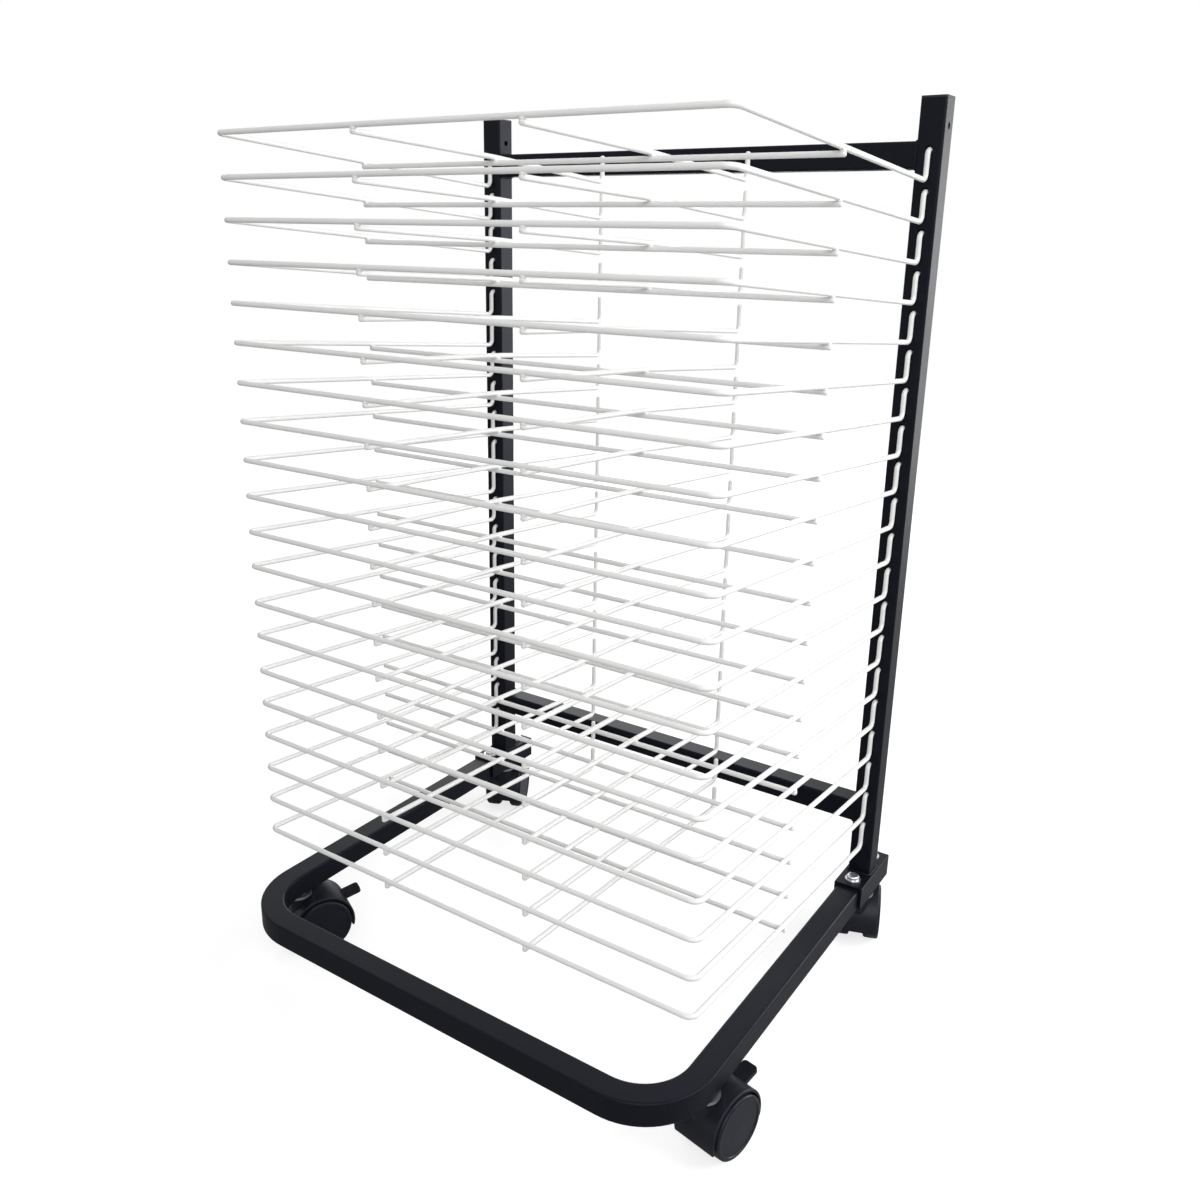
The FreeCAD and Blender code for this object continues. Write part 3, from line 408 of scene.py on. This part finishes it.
def along_slope(back, below=0.0):
    """Y and Z of a point this far from the hook legs along the shelf, and this far under its plane."""
    return (HOOK_LEG - back * math.cos(slope) - below * math.sin(slope),
            back * math.sin(slope) - below * math.cos(slope))


def capped_faces(rings, around):
    """The quads of a grid of closed rings, and a fan at each end to a pole; the poles are the last two points."""
    spoke = np.arange(around)
    beside = (spoke + 1) % around
    last, tips = (rings - 1) * around, rings * around
    return [grid_faces(rings, around),
            np.stack([beside, spoke, np.full(around, tips)], axis=-1),
            np.stack([last + spoke, last + beside, np.full(around, tips + 1)], axis=-1)]


def round_wire(line):
    """A wire with rounded ends: circles of radius r about the line, closed by domes.

    A dome's rings shrink as r*cos(a) while they move out by dome*r*sin(a), up to a single point at each end.
    """
    radius = WIRE / 2
    tangent, side, upward = section_axes(line, np.array([1.0, 0.0, 1.0]) / math.sqrt(2))
    lift = np.radians(DOME_RINGS)[:, None]
    start = line[0] - DOME * radius * np.sin(lift) * tangent[0]
    end = line[-1] + DOME * radius * np.sin(lift[::-1]) * tangent[-1]
    middle = np.concatenate([start, line, end])[:, None]
    size = radius * np.concatenate([np.cos(lift[:, 0]), np.ones(len(line)), np.cos(lift[::-1, 0])])
    ends = len(DOME_RINGS)
    side = np.concatenate([side[:1].repeat(ends, 0), side, side[-1:].repeat(ends, 0)])[:, None]
    upward = np.concatenate([upward[:1].repeat(ends, 0), upward, upward[-1:].repeat(ends, 0)])[:, None]
    turn = full_turn(WIRE_SIDES)[None, :, None]
    rings = middle + size[:, None, None] * (np.cos(turn) * side + np.sin(turn) * upward)
    poles = np.array([line[0] - DOME * radius * tangent[0], line[-1] + DOME * radius * tangent[-1]])
    return np.concatenate([rings.reshape(-1, 3), poles]), capped_faces(len(middle), WIRE_SIDES)


def spot_weld(middle, wide, high):
    """A squashed ball: rings of radius wide*cos(a) at height high*sin(a)."""
    lift = np.radians(WELD_RINGS)[:, None]
    turn = full_turn(WELD_SIDES)[None, :]
    rings = np.stack([wide * np.cos(lift) * np.cos(turn), wide * np.cos(lift) * np.sin(turn),
                      high * np.sin(lift) + 0 * turn], axis=-1)
    points = np.concatenate([rings.reshape(-1, 3), [[0, 0, -high], [0, 0, high]]]) + middle
    return points, capped_faces(len(WELD_RINGS), WELD_SIDES)


def joined(parts):
    """Several (points, faces) shapes as one."""
    points, faces, start = [], [], 0
    for shape, quads in parts:
        points.append(shape)
        faces += [part + start for part in quads]
        start += len(shape)
    return np.concatenate(points), faces


shelf_length = math.hypot(RISE, REACH)
front, front_rise = along_slope(shelf_length)
edge_corners = [(HALF_SPAN, HOOK_LEG + TIP_REACH, HOOK_HEIGHT), (HALF_SPAN, HOOK_LEG, HOOK_HEIGHT),
                (HALF_SPAN, HOOK_LEG, 0), (HALF_SPAN, front, front_rise)]
edge_corners += [(-x, y, z) for x, y, z in reversed(edge_corners)]
edge_bends = [TIP_BEND, HOOK_BEND, FRONT_BEND, FRONT_BEND, HOOK_BEND, TIP_BEND]
cross_y, cross_z = along_slope(CROSS_BACK / math.cos(slope), CROSSING)
crossing_y, crossing_z = along_slope(CROSS_BACK / math.cos(slope))
cross_ends = [(HALF_SPAN + OVERHANG, cross_y, cross_z), (-HALF_SPAN - OVERHANG, cross_y, cross_z)]
end_y, end_z = along_slope(shelf_length + OVERHANG, CROSSING + END_DIP)
shelf_parts = [round_wire(bent_line(edge_corners, edge_bends, WIRE_STEP)),
               round_wire(bent_line(cross_ends, [], WIRE_STEP))]
for x in (-LONG_X, LONG_X):
    stop_foot = STOP_BACK * math.tan(slope)
    long_corners = [(x, HOOK_LEG - STOP_BACK, HOOK_HEIGHT), (x, HOOK_LEG - STOP_BACK, stop_foot),
                    (x, crossing_y, crossing_z), (x, end_y, end_z)]
    shelf_parts.append(round_wire(bent_line(long_corners, [STOP_BEND, KINK_BEND], WIRE_STEP)))
    shelf_parts.append(spot_weld(np.array([x, cross_y, (cross_z + crossing_z) / 2]), *LONG_WELD))
    shelf_parts.append(spot_weld(np.array([x, front - FRONT_WELD_SETBACK, (front_rise + end_z) / 2]), *LONG_WELD))
for x in (-HALF_SPAN, HALF_SPAN):
    shelf_parts.append(spot_weld(np.array([x, cross_y, (cross_z + crossing_z) / 2]), *EDGE_WELD))
shelf_points, shelf_faces = joined(shelf_parts)
outward = np.clip((HOOK_LEG - shelf_points[:, 1]) / REACH, 0, 1)
sideways = shelf_points[:, 0] / HALF_SPAN
chance = np.random.default_rng(20)
for index in range(SHELVES):
    node = f"shelf_{index + 1:02d}"
    foot = LOWEST + PITCH * (SHELVES - 1 - index)
    # no two shelves lie quite alike: each front edge is off by a fraction of a millimetre
    twist, bow, tip = chance.normal(0, SHELF_SPREAD)
    lifted = outward * (tip + twist * sideways + bow * (1 - sideways ** 2))
    points = shelf_points + np.stack([0 * lifted, 0 * lifted, foot + lifted], axis=-1)
    shelf = new_piece(f"{node}_wires", node, white_coat, points * MM, shelf_faces)
    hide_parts(node)

# ---------------------------------------------------------------- caster stems
# Zinc-plated stems screwed up into flanged inserts in the base, each with a thick washer over its hood.
# Only the edges of the insert flange and of the washer show under the tube. They get a darker zinc colour there,
# which is painted shade for the shadow they sit in.
# painted shade: a darker copy of the zinc colour, for the inserts and washers in the tube's shadow
shaded_zinc, shader, tree = new_finish("shaded_zinc", (0.36, 0.37, 0.39), 0.34, 1.0)
tree.join(shader.inputs["Roughness"], 0.32 + 0.14 * noise(tree, 0.004, 3.0))
dress(shaded_zinc, "caster_inserts", "stem_washers")
spots = ("front_left", "front_right", "rear_left", "rear_right")
for spot in spots:
    dress(zinc, f"{spot}_caster_stem", f"{spot}_caster_axle")

# ---------------------------------------------------------------- caster hoods
# Injection-moulded nylon: a curved cover over both wheels, with the web and the stem boss inside.
# Satin, slightly blue black, with a fine moulded texture.
hood_plastic, shader, tree = new_finish("hood_nylon", (0.009, 0.010, 0.015), 0.42, IOR=1.28)
cloud, texture = noise(tree, 0.02, 3.0), noise(tree, 0.0007, 2.0)
tree.join(shader.inputs["Base Color"], tinted(tree, cloud, (0.008, 0.009, 0.014), (0.013, 0.014, 0.020)))
tree.join(shader.inputs["Roughness"], 0.31 + 0.12 * cloud + 0.06 * texture)
tree.join(shader.inputs["Normal"], bumped(tree, texture, 0.15, 0.0002))
for spot in spots:
    dress(hood_plastic, f"{spot}_caster_hood")

# ---------------------------------------------------------------- wheels
# Moulded twin wheels, hollow on their inner side, on a steel axle through the hood's web.
# The outer face is a flat disc with a fine ring near its rounded edge.
WHEEL, WIDTH, WHEEL_SIDES = 25.0, 13.5, 72
# from the middle of the axle to a wheel's inner face
INNER_FACE = 6.5

wheel_plastic, shader, tree = new_finish("wheel_nylon", (0.011, 0.013, 0.020), 0.45, IOR=1.25)
cloud, scuff, grain = noise(tree, 0.015, 3.0), noise(tree, 0.004, 4.0, 0.7), noise(tree, 0.0006, 2.0)
worn = tree.node("ValToRGB", {"stops": [(0.52, 0.0), (0.72, 1.0)]}, {"Fac": scuff})
tree.join(shader.inputs["Base Color"],
          tinted(tree, 0.6 * cloud + 0.3 * worn, (0.008, 0.010, 0.016), (0.016, 0.019, 0.027)))
tree.join(shader.inputs["Roughness"], 0.27 + 0.14 * worn + 0.06 * grain)
tree.join(shader.inputs["Normal"], bumped(tree, grain + 0.4 * worn, 0.15, 0.0002))


def turned(profile, middle, axis, sides):
    """A closed shape turned about an axis through the middle.

    A profile point (x, r) becomes a circle of radius r at x along the axis; the first and last are poles on it.
    """
    axis = np.array(axis) / np.linalg.norm(axis)
    upward = np.array([0.0, 0.0, 1.0])
    across = np.cross(upward, axis)
    turn = full_turn(sides)[None, :, None]
    along, radius = profile[1:-1, 0][:, None, None], profile[1:-1, 1][:, None, None]
    rings = middle + along * axis + radius * (np.cos(turn) * upward + np.sin(turn) * across)
    poles = middle + profile[[0, -1], 0][:, None] * axis
    return np.concatenate([rings.reshape(-1, 3), poles]), capped_faces(len(profile) - 2, sides)


# the corners of half a wheel's section: how far from the inner face, how far from the axle's middle, and the
# radius of the bend there
wheel_corners = [
    (8.9, 0.0, 0.0), (8.9, 3.05, 0.3), (0.0, 3.05, 0.4),        # the blind bore for the axle
    (0.0, 7.0, 0.4), (9.5, 7.0, 0.8),                           # the hub
    (9.5, 20.5, 0.8), (0.0, 20.5, 0.4),                         # the hollow, out to the rim
    (0.0, WHEEL - 0.2, 2.0), (WIDTH / 2, WHEEL, 40.0), (WIDTH - 0.2, WHEEL - 0.2, 1.6),     # the tread
    (WIDTH, 22.6, 0.4), (WIDTH, 21.7, 0.25),                    # the ring
    (WIDTH - 0.7, 21.2, 0.2), (WIDTH - 0.4, 0.0, 0.0),          # the disc
]
wheel_profile = bent_line([(along, out) for along, out, _ in wheel_corners],
                          [bend for _, _, bend in wheel_corners[1:-1]], 2.0, math.radians(18))
for joint in frame["joints"]:
    if joint["name"].endswith("_roll"):
        wheel = joint["child"]
        way = -1.0 if wheel.endswith("left_wheel") else 1.0
        axis = np.array(joint["axis"]) * way
        inner_face = np.array(joint["pos_m"]) / MM + INNER_FACE * axis
        points, faces = turned(wheel_profile, inner_face, axis, WHEEL_SIDES)
        piece = new_piece(f"{wheel}_moulding", wheel, wheel_plastic, points * MM, faces)
        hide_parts(wheel)

# ---------------------------------------------------------------- brake levers
# Black moulded levers on the two front casters, pressed with the foot to lock the wheels.
# Each turns on a pin in the web and comes out through a slot in the hood.
for spot in ("front_left", "front_right"):
    dress(hood_plastic, f"{spot}_brake_lever")
